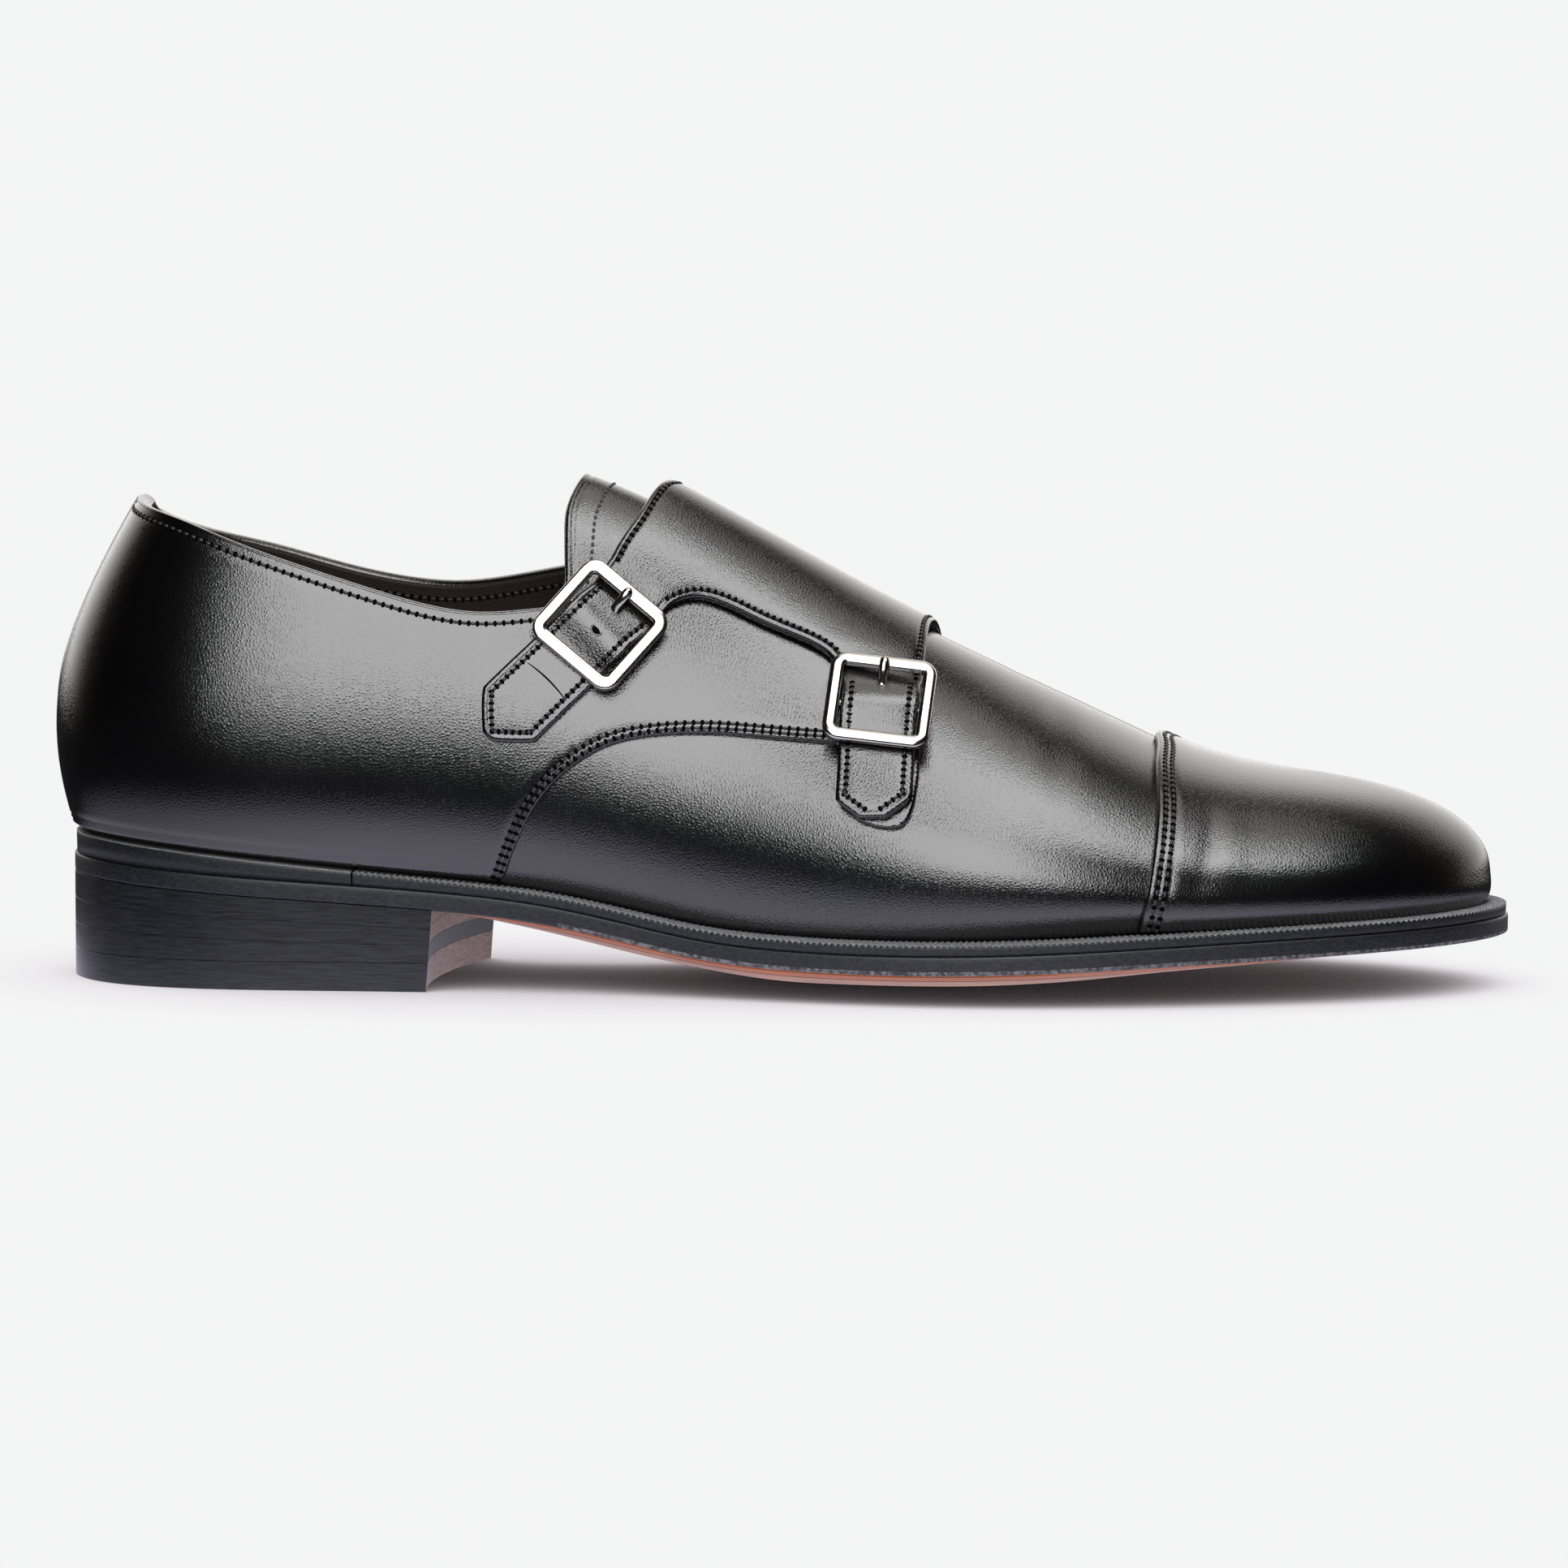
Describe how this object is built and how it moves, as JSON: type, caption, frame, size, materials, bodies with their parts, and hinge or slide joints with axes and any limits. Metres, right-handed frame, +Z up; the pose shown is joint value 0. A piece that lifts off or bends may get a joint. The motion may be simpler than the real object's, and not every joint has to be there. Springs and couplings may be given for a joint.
{
  "type": "monk strap shoe",
  "caption": "Right black calf dress shoe: hollow last-shaped upper with toe cap, an instep flap buckled by two straps on the outer side, welted leather sole, stacked heel",
  "frame": {"origin": "on the ground plane under the middle of the whole shoe's box", "axes": "+X to the toe, +Y to the inner side of the foot, +Z up; the outer side with the buckles faces -Y"},
  "size_m": [0.304, 0.1034, 0.1061],
  "materials": {
    "calf_leather": "polished black calf with a fine grain",
    "lining_leather": "smooth dark brown lining leather",
    "sole_leather": "smooth tan sole leather with a stitched channel",
    "edge_leather": "black inked edge, waxed and slightly rough",
    "heel_leather": "stacked leather lifts inked black, brown at the breast",
    "heel_rubber": "matte black rubber",
    "buckle_metal": "polished nickel"
  },
  "bodies": {
    "root": {"outsole": "sole_leather", "heel_top_piece": "heel_rubber", "heel_lift_1": "heel_leather", "heel_lift_2": "heel_leather", "heel_lift_3": "heel_leather", "welt": "edge_leather", "heel_rand": "edge_leather", "insole": "lining_leather", "upper": "calf_leather", "toe_cap": "calf_leather", "outer_quarter": "calf_leather", "inner_quarter_and_flap": "calf_leather", "back_strip": "calf_leather", "tongue": "calf_leather", "upper_buckle_frame": "buckle_metal", "upper_buckle_prong": "buckle_metal", "upper_buckle_chape": "calf_leather", "lower_buckle_frame": "buckle_metal", "lower_buckle_prong": "buckle_metal", "lower_buckle_chape": "calf_leather"}
  },
  "joints": []
}
